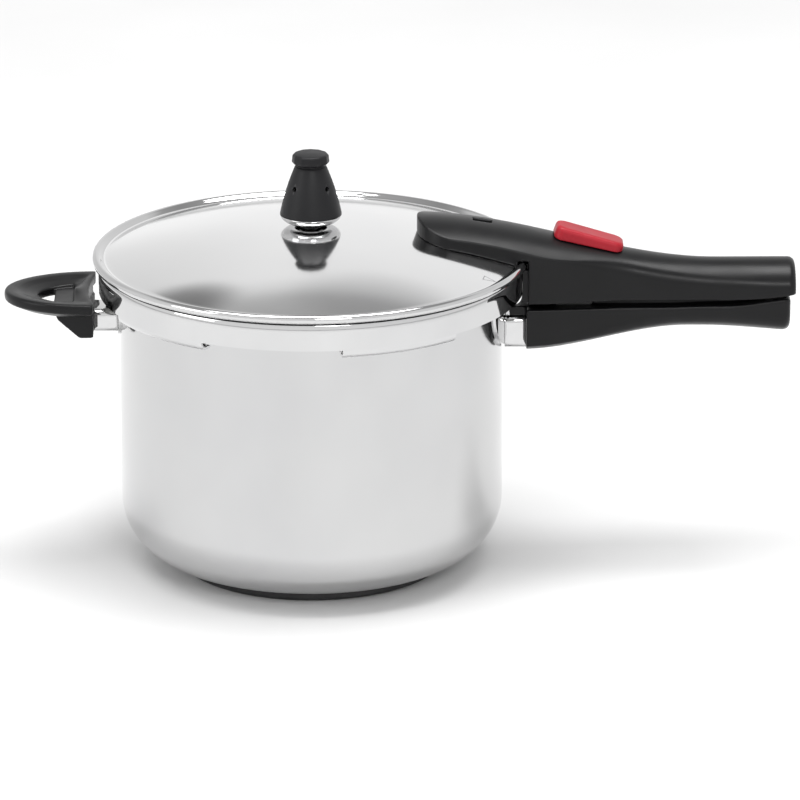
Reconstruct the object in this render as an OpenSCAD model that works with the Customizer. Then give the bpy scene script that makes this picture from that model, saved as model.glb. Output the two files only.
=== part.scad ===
// Stovetop pressure cooker, 22 cm, with a five-lug bayonet lid.
// Millimetres. The origin is the centre of the base on the hob, +Z is up,
// and the long handles point along +X. The lid is shown closed.

/* [Pot] */
// Outer diameter of the pot wall
pot_d = 222; // [216:1:224]
// Height of the pot's rim above the hob
rim_z = 172; // [170:0.5:173]
// Thickness of the pot's sheet
wall_t = 1.2; // [0.8:0.1:1.5]
// Outer radius of the pot's lower corner
corner_r = 34; // [20:1:40]
// Height of the capsule base
base_h = 6; // [5:0.5:8]

/* [Lid] */
// Height of the lid's crown above the hob
lid_top = 203; // [202:0.5:204]
// Outer radius of the lid's dome
dome_r = 390; // [380:5:420]
// Outer radius of the lid's skirt
skirt_r = 123; // [122.5:0.1:123.4]
// Radius of the rolled bead's section
bead_r = 2.5; // [2:0.1:2.8]
// Number of lugs on lid and pot
lugs = 5; // [4:1:5]
// Arc of one lug, in degrees
lug_arc = 33.4; // [28:0.2:34]

/* [Handles] */
// Height of the lid handle's underside
grip_z = 161.3; // [161:0.1:162]
// Height of the lid handle's crest above its underside at the inner end
crest_in = 47.2; // [44:0.2:48]
// The same height at the outer end
crest_out = 20.2; // [18:0.2:21]
// Distance from the lid's axis to the outer end of both long handles
handle_end = 280; // [270:1:290]
// Half width of the lid handle where it crosses the lid's edge
root_half = 24.5; // [23:0.5:26]
// Half width of both grips
grip_half = 17; // [16:0.5:18]
// Wall thickness of the lid handle
shell_t = 3; // [2.5:0.1:3.2]

/* [Moving parts] */
// Travel of the slide button
slide_travel = 8; // [6:0.5:8]
// Lift of the regulator on its pipe
weight_lift = 3; // [2:0.5:3]
// Travel of the pressure indicator
pin_travel = 4.5; // [3:0.5:4.5]

/* [Hidden] */
$fn = 96;
// clearance left between faces that slide or sit on each other
fit = 0.1;
steel = [0.80, 0.80, 0.80];
polished = [0.88, 0.88, 0.89];
phenolic = [0.10, 0.10, 0.11];

pot_r = pot_d / 2;
lug_step = 360 / lugs;
// direction of the first lug; the others follow at equal steps
lug_first = 7;
// underside and thickness of the pot's lugs
pot_lug_z = 162.3;
pot_lug_t = 2.4;
pot_lug_reach = 7.2;
// the lid's skirt ends here between the lugs
notch_z = 165.5;
lid_t = 1.2;
skirt_t = 1.5;
lug_bend = 5.2;
lug_inner = 113;
lug_low = 160;
bead_c = [skirt_r + 0.9, 184.4];
dome_c = lid_top - dome_r;
// the lid's outside, as seen by the handle that sits on it
envelope_r = bead_c[0] + bead_r + 0.8;
envelope_z = bead_c[1] + bead_r + 0.3;

// places of the small fittings along the handle, on the lid
safety_x = 76;
safety_z = 197;
indicator_x = 99;
indicator_z = 192.2;
pad_t = 5;

// slide button: its seat follows the crest between these two stations
slide_x = 160;
slide_tilt = 16.5;
slide_len = 41;
slide_wide = 18.6;
slide_rise = 6;
bolt_x = 152;
bolt_r = 3;
bolt_ratio = 0.875;
bolt_low = grip_z + 0.2;
collar_z = 175.8;
tray_z = grip_z + 0.7;
tray_t = 2.8;
front_screw_x = 135.5;
rear_screw_x = 240;

// helper handle
loop_c = -128;
loop_a = 49.6;
loop_b = 34.5;
loop_top = 165;
hole_a = 30;
hole_b = 18.5;
// screw of the helper handle, measured from the pot's axis
helper_screw_x = 131.2;

// --- small helpers -------------------------------------------------------

function arc_pts(c, r, a0, a1, n) =
    [for (i = [0:n]) let (a = a0 + (a1 - a0) * i / n) [c[0] + r * cos(a), c[1] + r * sin(a)]];

function ramp(t) = let (u = min(max(t, 0), 1)) u * u * (3 - 2 * u);

// height of the lid handle's crest above grip_z at station x
function crest(x) = crest_in - (crest_in - crest_out) * ramp((x - 60) / 175);

// half width of the lid handle at station x
function handle_half(x) =
    x < 82
    ? root_half * sqrt(max(0, 1 - pow((82 - x) / 20.9, 2)))
    : root_half - (root_half - grip_half) * ramp((x - 128) / 58)
      + 1.5 * ramp((x - 215) / 60) - 6 * pow(max(0, (x - handle_end + 10) / 10), 3);

// height of the pot handle's underside below its axis at station x
function belly(x) = 36.5 - 13.6 * ramp((x - 122) / 95) + 4.2 * ramp((x - 225) / 75);

// half width of the pot handle at station x
function lower_half(x) =
    grip_half + 3.5 * (1 - ramp((x - 124) / 60)) + 1 * ramp((x - 215) / 60)
    - 6 * pow(max(0, (x - handle_end + 12) / 10), 3);

// closed plan outline from a list of stations and half widths
function outline(xs, ys) =
    concat([for (i = [0:len(xs) - 1]) [xs[i], -ys[i]]],
           [for (i = [len(xs) - 1:-1:0]) [xs[i], ys[i]]]);

function ellipse_pts(a, b, n) = [for (i = [0:n - 1]) [a * cos(360 * i / n), b * sin(360 * i / n)]];

// a bar that lies along X, turned from a list of [radius, station]
module along_x(z, pts) {
    translate([0, 0, z])
        rotate([0, 90, 0])
            rotate_extrude()
                polygon(pts);
}

// an upright plate: a profile in X and Z, centred on Y
module side_plate(wide, pts) {
    rotate([90, 0, 0])
        linear_extrude(height = wide, center = true)
            polygon(pts);
}

// a box with its four long edges rounded; it lies along X
module sleeve_solid(x0, x1, half_y, z0, z1, r) {
    translate([x0, 0, 0])
        rotate([90, 0, 90])
            linear_extrude(height = x1 - x0)
                union() {
                    translate([-half_y + r, z0])
                        square([2 * half_y - 2 * r, z1 - z0]);
                    translate([-half_y, z0 + r])
                        square([2 * half_y, z1 - z0 - 2 * r]);
                    for (sy = [-1, 1])
                        for (z = [z0 + r, z1 - r])
                            translate([sy * (half_y - r), z])
                                circle(r = r);
                }
}

// a coil spring drawn as stacked round rings joined by short posts
module coil(x, y, z0, z1, r_mid, wire, turns) {
    step = (z1 - z0 - wire) / turns;
    translate([x, y, 0])
        for (i = [0:turns]) {
            translate([0, 0, z0 + wire / 2 + i * step])
                rotate_extrude()
                    translate([r_mid, 0])
                        circle(d = wire, $fn = 16);
            if (i < turns)
                rotate([0, 0, 180 * i])
                    translate([r_mid, 0, z0 + wire / 2 + i * step])
                        cylinder(d = wire * 0.8, h = step, $fn = 16);
        }
}

// a round solid at x, between two heights
module post(x, r, z0, z1) {
    translate([x, 0, z0])
        cylinder(r = r, h = z1 - z0);
}

module hex(x, across, z0, z1) {
    translate([x, 0, z0])
        cylinder(r = across / sqrt(3), h = z1 - z0, $fn = 6);
}

// --- pot -----------------------------------------------------------------

module pot_shell() {
    c = [pot_r - corner_r, base_h + corner_r];
    color(steel)
        union() {
            rotate_extrude()
                polygon(concat(
                    [[0, base_h + wall_t], [0, base_h]],
                    arc_pts(c, corner_r, -90, 0, 12),
                    [[pot_r, rim_z - 3.4], [pot_r + 1.4, rim_z - 2.6], [pot_r + 1.4, rim_z - 0.8],
                     [pot_r + 0.6, rim_z], [pot_r - wall_t, rim_z]],
                    arc_pts(c, corner_r - wall_t, 0, -90, 12)));
            for (i = [0:lugs - 1])
                rotate([0, 0, lug_first + i * lug_step - lug_arc / 2])
                    rotate_extrude(angle = lug_arc)
                        translate([pot_r - wall_t / 2, pot_lug_z])
                            square([pot_lug_reach + wall_t / 2, pot_lug_t]);
        }
}

module base_core() {
    color([0.72, 0.72, 0.73])
        translate([0, 0, 0.8])
            cylinder(r = pot_r - corner_r - 1, h = base_h - 0.8);
}

module base_cap() {
    r = pot_r - corner_r;
    color(polished)
        rotate_extrude()
            polygon(concat(
                [[0, 0]],
                arc_pts([r - 0.5, 2.5], 2.5, -90, 0, 5),
                [[r + 1.2, base_h], [r - 1, base_h], [r - 1, 0.8], [0, 0.8]]));
}

// --- brackets, guards and handles on the pot ----------------------------

// welded saddle on the wall with a flat tongue that enters the handle
module wall_bracket(half_y, z_low, z_high, tongue_z, reach, screw_x) {
    difference() {
        union() {
            intersection() {
                difference() {
                    translate([0, 0, z_low - 1])
                        cylinder(r = pot_r + 1.4, h = z_high - z_low + 2);
                    translate([0, 0, z_low - 2])
                        cylinder(r = pot_r, h = z_high - z_low + 4);
                }
                translate([pot_r - 50, 0, z_high])
                    rotate([90, 0, 90])
                        linear_extrude(height = 60)
                            intersection() {
                                polygon(ellipse_pts(half_y, z_high - z_low, 48));
                                translate([-half_y, -z_high])
                                    square([2 * half_y, z_high]);
                            }
            }
            translate([pot_r + 0.6, -8, tongue_z])
                cube([reach - pot_r - 0.6, 16, 5]);
        }
        translate([screw_x, 0, tongue_z - 1])
            cylinder(r = 2.4, h = 7);
    }
}

module handle_bracket() {
    color(steel)
        wall_bracket(38, 132.6, 158, 139.5, 164, 156);
}

module helper_bracket() {
    color(steel)
        mirror([1, 0, 0])
            wall_bracket(20, 138, 158, 146, 135.2, helper_screw_x);
}

// hollow sleeve between the wall and a handle
module guard(z0, z1, half_y, x1) {
    difference() {
        sleeve_solid(pot_r - 12, x1, half_y, z0, z1, 4);
        sleeve_solid(pot_r - 13, x1 + 1, half_y - 1, z0 + 1, z1 - 1, 3);
        translate([0, 0, z0 - 1])
            cylinder(r = pot_r + 1.4 + fit, h = z1 - z0 + 2);
    }
}

module handle_guard() {
    color(polished)
        guard(131.4, 150.8, 14, 124.2);
}

module helper_guard() {
    color(polished)
        mirror([1, 0, 0])
            guard(141.6, 155.2, 12, 125.8);
}

module pot_handle() {
    xs = concat([for (i = [0:12]) 124.3 + i * 11.6], [for (i = [0:5]) handle_end - 10 + i * 1.4]);
    x_end = handle_end - 3;
    color(phenolic)
        difference() {
            union() {
                intersection() {
                    translate([0, 0, 120])
                        linear_extrude(height = 50)
                            polygon(outline(xs, [for (x = xs) lower_half(x)]));
                    along_x(165, concat(
                        [[0, 120]],
                        [for (i = [0:16]) let (x = 120 + i * 10) [belly(x), x]],
                        [[0, x_end]]));
                    side_plate(60, [
                        [120, 100], [x_end - 0.6, 100], [x_end, 150], [x_end + 0.6, 162], [262, 159.2],
                        [246, 157.6], [215, 156.6], [120, 156.6]]);
                }
                // nose over the flame guard
                translate([114.5, -13, 151.2])
                    cube([12, 26, 5.4]);
                // ribs that fill most of the gap under the lid handle
                translate([126, -9, 150])
                    cube([bolt_x - 10.5 - 126, 18, 10.3]);
                translate([bolt_x + 10.5, -9, 150])
                    cube([262 - bolt_x - 10.5, 18, 10.3]);
            }
            translate([110, -8.2, 139.3])
                cube([54.4, 16.4, 5.4]);
            post(156, 2.5, 100, 146);
            post(156, 4.6, 100, 136);
            // pocket for the keeper
            translate([bolt_x - 10.5, -8.5, 151.5])
                cube([21, 17, 20]);
        }
}

// moulded block in the pot handle that the lock bolt drops into
module bolt_keeper() {
    color(phenolic)
        difference() {
            translate([bolt_x - 10.4, -8.4, 151.6])
                cube([20.8, 16.8, 8.7]);
            translate([bolt_x - 5.5, -5.5, 151])
                cube([11, 11, 20]);
        }
}

module pot_handle_screw() {
    color(steel)
        difference() {
            union() {
                post(156, 4.4, 132.6, 135.9);
                post(156, 2.35, 135.8, 145.6);
            }
            translate([156 - 4, -0.6, 132])
                cube([8, 1.2, 1.8]);
        }
}

module helper_handle() {
    color(phenolic)
        difference() {
            union() {
                translate([loop_c, 0, loop_top - 6])
                    linear_extrude(height = 6)
                        polygon(ellipse_pts(loop_a, loop_b, 72));
                translate([loop_c, 0, loop_top - 9])
                    linear_extrude(height = 4)
                        polygon(ellipse_pts(loop_a - 7, loop_b - 7, 72));
                side_plate(40, [
                    [-125.9, 140.6], [-134.5, 140.6], [-149, 154], [-149, 160], [-125.9, 160]]);
            }
            translate([loop_c, 0, 130])
                linear_extrude(height = loop_top - 129)
                    intersection() {
                        polygon(ellipse_pts(hole_a, hole_b, 60));
                        translate([-60, -40])
                            square([51, 80]);
                    }
            // clear of the lid's bead above, flush with the guard below
            translate([0, 0, 156])
                cylinder(r = 128.4, h = 20);
            translate([-125.8, -50, 130])
                cube([60, 100, 60]);
            translate([-135.6, -8.2, 145.8])
                cube([15, 16.4, 5.4]);
            post(-helper_screw_x, 2.5, 135, 152.6);
            post(-helper_screw_x, 4.6, 135, 143);
        }
}

module helper_screw() {
    color(steel)
        difference() {
            union() {
                post(-helper_screw_x, 4.4, 140.7, 142.9);
                post(-helper_screw_x, 2.35, 142.8, 152);
            }
            translate([-helper_screw_x - 4, -0.6, 140])
                cube([8, 1.2, 1.6]);
        }
}

// --- lid -----------------------------------------------------------------

function lid_arc(r, reach, n) =
    let (a1 = acos(reach / r)) [for (i = [0:n]) let (a = 90 + (a1 - 90) * i / n)
        [r * cos(a), dome_c + r * sin(a)]];

function reversed(p) = [for (i = [len(p) - 1:-1:0]) p[i]];

// lower edge of the skirt in section, bent inwards to form the lugs
function lid_lug_pts() = concat(
    arc_pts([skirt_r - lug_bend, lug_low + lug_bend], lug_bend, 0, -90, 8),
    [[lug_inner, lug_low], [lug_inner, lug_low + skirt_t]],
    arc_pts([skirt_r - lug_bend, lug_low + lug_bend], lug_bend - skirt_t, -90, 0, 8));

// seat pressed flat for a fitting
module lid_pad(x, r, top) {
    post(x, r, top - pad_t, top);
}

module lid_shell() {
    color(steel)
        difference() {
            union() {
                rotate_extrude()
                    polygon(concat(
                        lid_arc(dome_r, bead_c[0] - bead_r, 24),
                        arc_pts(bead_c, bead_r, 190, -90, 20),
                        [[skirt_r, bead_c[1] - bead_r - 0.6]],
                        lid_lug_pts(),
                        [[skirt_r - skirt_t, 180]],
                        reversed(lid_arc(dome_r - lid_t, skirt_r - skirt_t - 1, 24))));
                lid_pad(safety_x, 9, safety_z);
                lid_pad(indicator_x, 7, indicator_z);
                post(0, 9, lid_top - 1.8, lid_top + 0.1);
            }
            post(0, 4.1, lid_top - 5, lid_top + 5);
            post(safety_x, 5.1, safety_z - 10, safety_z + 5);
            post(indicator_x, 4.1, indicator_z - 10, indicator_z + 5);
            // gaps between the lugs
            for (i = [0:lugs - 1])
                rotate([0, 0, lug_first + i * lug_step + lug_arc / 2])
                    rotate_extrude(angle = lug_step - lug_arc)
                        translate([100, 150])
                            square([30, notch_z - 150]);
        }
}

module lid_gasket() {
    r = skirt_r - skirt_t - 0.4;
    color([0.90, 0.90, 0.88])
        rotate_extrude()
            polygon([
                [107.5, rim_z + 0.9], [109.5, rim_z + 0.3], [r, rim_z + 0.3], [r, 180.2],
                [r - 1.4, 181.4], [108.4, 185.2], [108, 183.6], [115.5, 181], [116.6, 179.6], [116.6, rim_z + 4],
                [115.2, rim_z + 2.6]]);
}

// everything the lid fills, seen from outside, with a small gap
module lid_envelope() {
    rotate_extrude()
        polygon(concat(
            lid_arc(dome_r + fit, bead_c[0] - bead_r - 0.4, 24),
            [[bead_c[0] - bead_r - 0.4, envelope_z], [envelope_r, envelope_z],
             [envelope_r, 150], [0, 150]]));
}

// sheet bracket: lies on the dome, steps over the bead and runs out along the tray
module lid_bracket() {
    x_out = envelope_r + 0.4;
    color(steel)
        difference() {
            union() {
                intersection() {
                    translate([86, -15, 180])
                        cube([34, 30, 20]);
                    translate([0, 0, dome_c])
                        sphere(r = dome_r + 2.4, $fn = 180);
                }
                translate([108, -8, envelope_z + 0.4])
                    cube([x_out + 2.4 - 108, 16, 2.4]);
                translate([x_out, -8, tray_z + tray_t])
                    cube([2.4, 16, envelope_z + 2.8 - tray_z - tray_t]);
                translate([x_out, -8, tray_z + tray_t])
                    cube([143 - x_out, 16, 2.4]);
            }
            lid_envelope();
            post(indicator_x, 7.4, 180, 210);
            post(front_screw_x, 2.2, 160, 175);
        }
}

// the lid handle's outer form, made smaller by inset for its cavity
module handle_form(inset, z_low) {
    x0 = 61.2 + inset;
    x1 = handle_end - inset;
    xs = concat(
        [for (i = [0:7]) x0 + 20.8 * (1 - cos(90 * i / 7))],
        [for (i = [1:12]) x0 + 20.8 + i * (x1 - x0 - 30.8) / 12],
        [for (i = [0:4]) x1 - 8 + i * 2]);
    intersection() {
        translate([0, 0, z_low])
            linear_extrude(height = 220 - z_low)
                polygon(outline(xs, [for (x = xs) max(0.4, handle_half(x) - inset)]));
        along_x(grip_z, concat(
            [[0, 50]],
            [for (i = [0:21]) let (x = 50 + i * (x1 - 60) / 21) [crest(x) - inset, x]],
            [[crest(x1) - inset - 1.2, x1 - 1.2], [crest(x1) - inset - 5, x1 + 0.2], [0, x1 + 0.2]]));
    }
}

// frame of the slide button: X runs down the slope, Z stands off the crest
module on_slope() {
    translate([slide_x, 0, grip_z + crest(slide_x)])
        rotate([0, slide_tilt, 0])
            children();
}

module lid_handle_cover() {
    color(phenolic)
        difference() {
            union() {
                difference() {
                    handle_form(0, 140);
                    difference() {
                        handle_form(shell_t, 100);
                        // front wall behind the lid's bead
                        translate([0, 0, 120])
                            cylinder(r = envelope_r + 2.6, h = envelope_z + 3 - 120);
                    }
                }
                intersection() {
                    union() {
                        post(front_screw_x, 4, 170, 200);
                        post(rear_screw_x, 4, 166, 200);
                    }
                    handle_form(1, 140);
                }
            }
            difference() {
                lid_envelope();
                // wings that reach in under the bead and hug the skirt
                for (sy = [-1, 1])
                    translate([100, sy * 14.4 - 6, 150])
                        cube([40, 12, bead_c[1] - bead_r - 1.1 - 150]);
            }
            translate([0, 0, 150])
                cylinder(r = skirt_r + 0.5, h = 32);
            // underside, lifted a little towards the end
            side_plate(80, [
                [40, 100], [300, 100], [300, 166.5], [handle_end, grip_z + 2.9],
                [264, grip_z + 0.9], [250, grip_z], [40, grip_z]]);
            // way for the bracket
            translate([80, -15.4, 180])
                cube([41, 30.8, envelope_z + 3.2 - 180]);
            translate([80, -8.4, tray_z + tray_t - 0.2])
                cube([64, 16.8, 2.9]);
            translate([80, -8.4, tray_z])
                cube([envelope_r + 3.2 - 80, 16.8, envelope_z + 3.2 - tray_z]);
            // the tray's ledge in the front wall
            translate([0, 0, grip_z - 1])
                intersection() {
                    cylinder(r = envelope_r + 2.9, h = 4.6);
                    translate([100, -20, 0])
                        cube([60, 40, 10]);
                }
            // window of the pressure indicator
            translate([indicator_x - 5.5, -2.5, 195])
                cube([11, 5, 20]);
            // slot for the stem of the slide button
            on_slope()
                translate([-4.3 - slide_travel, -2.9, -12])
                    cube([10.6 + slide_travel, 5.8, 20]);
            post(front_screw_x, 1.95, 160, 182);
            post(rear_screw_x, 1.95, 160, 177);
        }
}

module lid_handle_base() {
    inset = shell_t + 0.25;
    x0 = envelope_r + 3.2;
    x1 = handle_end - 20;
    xs = [for (i = [0:10]) x0 - 2 + i * (x1 - x0 + 2) / 10];
    color(phenolic)
        difference() {
            translate([0, 0, tray_z])
                linear_extrude(height = tray_t)
                    polygon(outline(xs, [for (x = xs) handle_half(x) - inset]));
            translate([0, 0, tray_z - 1])
                cylinder(r = envelope_r + 0.4, h = tray_t + 2);
            post(bolt_x, bolt_r + fit, 150, 180);
            for (x = [front_screw_x, rear_screw_x]) {
                post(x, 2.2, 150, 180);
                post(x, 3.8, 150, tray_z + 1.5);
            }
        }
}

module lid_handle_screws() {
    color(steel)
        for (s = [[front_screw_x, 180], [rear_screw_x, 175]])
            difference() {
                union() {
                    post(s[0], 3.6, tray_z + 0.1, tray_z + 1.5);
                    post(s[0], 1.9, tray_z + 1.4, s[1]);
                }
                translate([s[0] - 3, -0.4, tray_z - 0.4])
                    cube([6, 0.8, 1.2]);
            }
}

// --- vent and regulator --------------------------------------------------

vent_z = lid_top + 0.1;
pipe_top = vent_z + 9.9 + weight_lift;

module vent_pipe() {
    color(polished)
        difference() {
            union() {
                hex(0, 12, vent_z + 0.8, vent_z + 3.4);
                post(0, 4, vent_z - 9, vent_z + 1);
                post(0, 3, vent_z + 3, pipe_top);
                post(0, 3.3, pipe_top - 3, pipe_top - 1.8);
            }
            post(0, 1.25, vent_z - 12, pipe_top + 3);
        }
}

module vent_seal() {
    color([0.25, 0.25, 0.25])
        difference() {
            post(0, 6.6, vent_z, vent_z + 0.8);
            post(0, 4.05, vent_z - 1, vent_z + 2);
        }
}

module vent_nut() {
    color(steel)
        difference() {
            hex(0, 14, vent_z - 5.5, vent_z - 1.9);
            post(0, 4.05, vent_z - 8, vent_z);
        }
}

core_top = 236.4;

module regulator_weight() {
    color(steel)
        difference() {
            union() {
                post(0, 7.4, vent_z + 4.6, core_top);
                post(0, 2.95, core_top - 1, core_top + 2.6);
            }
            difference() {
                post(0, 3.6, vent_z, pipe_top + 0.3);
                post(0, 0.85, pipe_top - 2.5, pipe_top + 1);
            }
            // groove of the clip
            post(0, 4.6, vent_z + 5.4, vent_z + 6.5);
            post(0, 1.5, core_top - 6, core_top + 5);
        }
}

module weight_clip() {
    color(polished)
        difference() {
            post(0, 4.5, vent_z + 5.5, vent_z + 6.4);
            post(0, 3.15, vent_z + 5, vent_z + 7);
            translate([3, -1.2, vent_z + 5])
                cube([3, 2.4, 2]);
        }
}

module shroud_screw() {
    color(steel)
        difference() {
            union() {
                post(0, 4.4, core_top + 2.6, core_top + 4.4);
                post(0, 1.45, core_top - 5.5, core_top + 3);
            }
            translate([-5, -0.5, core_top + 3.5])
                cube([10, 1, 2]);
        }
}

cone_low = 209.5;
cone_high = 238.2;
// radius of the black cone at height z, slightly convex
function cone_r(z) =
    let (t = (z - cone_low) / (cone_high - cone_low)) 17.9 + (9 - 17.9) * t + 3.2 * t * (1 - t);

module regulator_shroud() {
    n = 10;
    color(phenolic)
        difference() {
            rotate_extrude()
                polygon(concat(
                    [for (i = [0:n]) let (z = cone_low + i * (cone_high - cone_low) / n) [cone_r(z), z]],
                    [[3.05, cone_high], [3.05, core_top + 0.3], [7.7, core_top + 0.3],
                     [7.7, core_top - 4]],
                    [for (i = [0:6]) let (z = core_top - 6 - i * 3.4) [cone_r(z) - 2, z]],
                    [[cone_r(cone_low) - 2, cone_low]]));
            for (i = [0:3])
                rotate([0, 0, 45 + 90 * i])
                    translate([8, 0, 226.5])
                        rotate([0, 90, 0])
                            cylinder(r = 1.5, h = 12);
        }
}

module regulator_cap() {
    color(phenolic)
        difference() {
            union() {
                post(0, 9, cone_high, cone_high + 1.6);
                translate([0, 0, cone_high + 1.4])
                    cylinder(r = 10.9, h = 5.9, $fn = 12);
            }
            post(0, 5, cone_high - 1, cone_high + 4.6);
        }
}

module regulator_skirt() {
    color(polished)
        rotate_extrude()
            polygon(concat(
                arc_pts([12, 211], 6.2, -14, -80, 6),
                [[9.4, 204.9], [9.4, 205.9]],
                arc_pts([12, 211], 5.2, -80, -18, 6)));
}

// --- safety valve and pressure indicator --------------------------------

module safety_housing() {
    color([0.72, 0.60, 0.36])
        difference() {
            union() {
                hex(safety_x, 13, safety_z + 1, safety_z + 2.8);
                post(safety_x, 5, safety_z - 10, safety_z + 1.2);
                post(safety_x, 5.4, safety_z + 2.6, safety_z + 6.4);
            }
            post(safety_x, 3.1, safety_z - 7, safety_z + 5.2);
            post(safety_x, 2, safety_z - 12, safety_z - 6);
            post(safety_x, 1.4, safety_z, safety_z + 8);
        }
}

module safety_seal() {
    color([0.25, 0.25, 0.25])
        difference() {
            post(safety_x, 7.2, safety_z, safety_z + 1);
            post(safety_x, 5.05, safety_z - 1, safety_z + 2);
        }
}

module safety_nut() {
    color(steel)
        difference() {
            hex(safety_x, 14, safety_z - pad_t - 3.6, safety_z - pad_t);
            post(safety_x, 5.05, safety_z - 12, safety_z);
        }
}

module safety_poppet() {
    color([0.72, 0.60, 0.36])
        post(safety_x, 3, safety_z - 6.95, safety_z - 3);
}

module safety_spring() {
    color(polished)
        coil(safety_x, 0, safety_z - 3, safety_z + 5.2, 2.3, 0.6, 5);
}

module indicator_seal() {
    color([0.25, 0.25, 0.25])
        difference() {
            union() {
                post(indicator_x, 4, indicator_z - pad_t - 1.4, indicator_z + 1.2);
                post(indicator_x, 5.6, indicator_z, indicator_z + 1.2);
                post(indicator_x, 5.6, indicator_z - pad_t - 1.4, indicator_z - pad_t);
            }
            post(indicator_x, 2.1, indicator_z - 12, indicator_z + 8);
        }
}

module indicator_pin() {
    top = indicator_z + 1.3;
    low = indicator_z - pad_t - 1.4 - pin_travel;
    color([0.75, 0.10, 0.12])
        union() {
            post(indicator_x, 2, low - 1.4, top + 6);
            post(indicator_x, 3.2, top, top + 1.2);
            post(indicator_x, 3.2, low - 1.5, low - 0.2);
        }
}

// --- slide lock ----------------------------------------------------------

// plan of the button: a block with round corners
module button_plan(half_l, half_w, r) {
    union() {
        translate([-half_l + r, -half_w])
            square([2 * half_l - 2 * r, 2 * half_w]);
        translate([-half_l, -half_w + r])
            square([2 * half_l, 2 * half_w - 2 * r]);
        for (sx = [-1, 1])
            for (sy = [-1, 1])
                translate([sx * (half_l - r), sy * (half_w - r)])
                    circle(r = r);
    }
}

module slide_button() {
    color([0.72, 0.10, 0.13])
        on_slope()
            difference() {
                translate([0, 0, -3])
                    linear_extrude(height = 3 + slide_rise)
                        button_plan(slide_len / 2, slide_wide / 2, 5);
                // hollow underside that follows the crest
                translate([0, 0, 0.55])
                    rotate([0, 86.6, 0])
                        translate([37, 0, -40])
                            cylinder(r = 37, h = 80, $fn = 180);
                // pocket for the stem
                translate([-3.1, -2.1, -3])
                    cube([8.2, 4.2, 5.5]);
            }
}

// plane between carrier and bolt, on which both slide
module wedge_side(gap) {
    angle = atan2(bolt_ratio + sin(slide_tilt), cos(slide_tilt));
    translate([bolt_x, 0, 181.2])
        rotate([0, angle, 0])
            translate([-60, -20, gap])
                cube([120, 40, 60]);
}

module slide_carrier() {
    color([0.20, 0.20, 0.21])
        union() {
            intersection() {
                on_slope()
                    translate([-11, -6, -13])
                        cube([27, 12, 8.2]);
                wedge_side(0.3);
            }
            on_slope()
                translate([-3, -2, -6])
                    cube([8, 4, 8.4]);
        }
}

module lock_bolt() {
    color(steel)
        difference() {
            union() {
                post(bolt_x, bolt_r, bolt_low, 190);
                post(bolt_x, 4.9, collar_z, collar_z + 1.4);
            }
            wedge_side(0);
        }
}

module bolt_spring() {
    color(polished)
        coil(bolt_x, 0, tray_z + tray_t, collar_z, 3.9, 0.7, 5);
}

pot_shell();
base_core();
base_cap();
handle_bracket();
helper_bracket();
handle_guard();
helper_guard();
pot_handle();
helper_handle();
pot_handle_screw();
helper_screw();
lid_shell();
lid_gasket();
lid_bracket();
lid_handle_cover();
lid_handle_base();
lid_handle_screws();
vent_pipe();
vent_seal();
vent_nut();
safety_housing();
safety_seal();
safety_nut();
indicator_seal();
regulator_weight();
weight_clip();
shroud_screw();
regulator_shroud();
regulator_cap();
regulator_skirt();
safety_poppet();
safety_spring();
indicator_pin();
slide_button();
slide_carrier();
lock_bolt();
bolt_spring();
bolt_keeper();
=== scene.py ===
import math

import bmesh
import bpy
from mathutils import Matrix, Vector


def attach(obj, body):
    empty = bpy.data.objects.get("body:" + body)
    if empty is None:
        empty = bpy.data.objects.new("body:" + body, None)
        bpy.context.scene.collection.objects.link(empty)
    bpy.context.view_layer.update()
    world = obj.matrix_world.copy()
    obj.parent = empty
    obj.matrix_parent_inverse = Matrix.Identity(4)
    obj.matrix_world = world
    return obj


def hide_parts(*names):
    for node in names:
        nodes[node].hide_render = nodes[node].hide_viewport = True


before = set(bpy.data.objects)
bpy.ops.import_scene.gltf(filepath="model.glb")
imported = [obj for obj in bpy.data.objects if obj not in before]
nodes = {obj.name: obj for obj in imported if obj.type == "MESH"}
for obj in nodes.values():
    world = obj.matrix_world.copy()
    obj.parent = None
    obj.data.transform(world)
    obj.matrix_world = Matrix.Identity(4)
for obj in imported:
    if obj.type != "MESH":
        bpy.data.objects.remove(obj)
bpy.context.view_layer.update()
scene = bpy.context.scene
MM = 0.001

# ---------------------------------------------------------------- sizes, in mm

# pot: wall's radius, sheet, rim, bend of the lower edge, floor
POT_R, WALL, RIM_Z, CORNER, BASE_Z = 111.0, 1.2, 172.0, 34.0, 6.0
# lugs of pot and lid: pitch, middle of the first one and arc, in degrees
LUG_STEP, LUG_FIRST, LUG_ARC = 72.0, 7.0, 33.4
POT_LUG_R, POT_LUG_LOW, POT_LUG_HIGH = 118.2, 162.3, 164.7
# lid: top and radius of the dome, skirt, sheets, then the skirt's lower edge and its lugs
LID_TOP, DOME_R, SKIRT_R, SKIRT_T, LID_T = 203.0, 390.0, 123.0, 1.5, 1.2
NOTCH_Z, LUG_LOW, LUG_BEND, LUG_INNER = 165.5, 160.0, 5.2, 113.0
BEAD_R, BEAD_C = 2.5, (123.9, 184.4)
UNDER_BEAD = BEAD_C[1] - BEAD_R
DOME_Z = LID_TOP - DOME_R
# the space that the handle leaves for the bead
EDGE_R, EDGE_Z = 127.2, 187.2
# lid handle: level that its crest is measured from, end, shell
GRIP_Z, HANDLE_END, SHELL = 161.3, 280.0, 3.0
# seats of the safety valve and the indicator, raised out of the dome by a pad
SAFETY_X, SAFETY_Z, PIN_X, PIN_Z, PAD = 76.0, 197.0, 99.0, 192.2, 5.0
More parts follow.
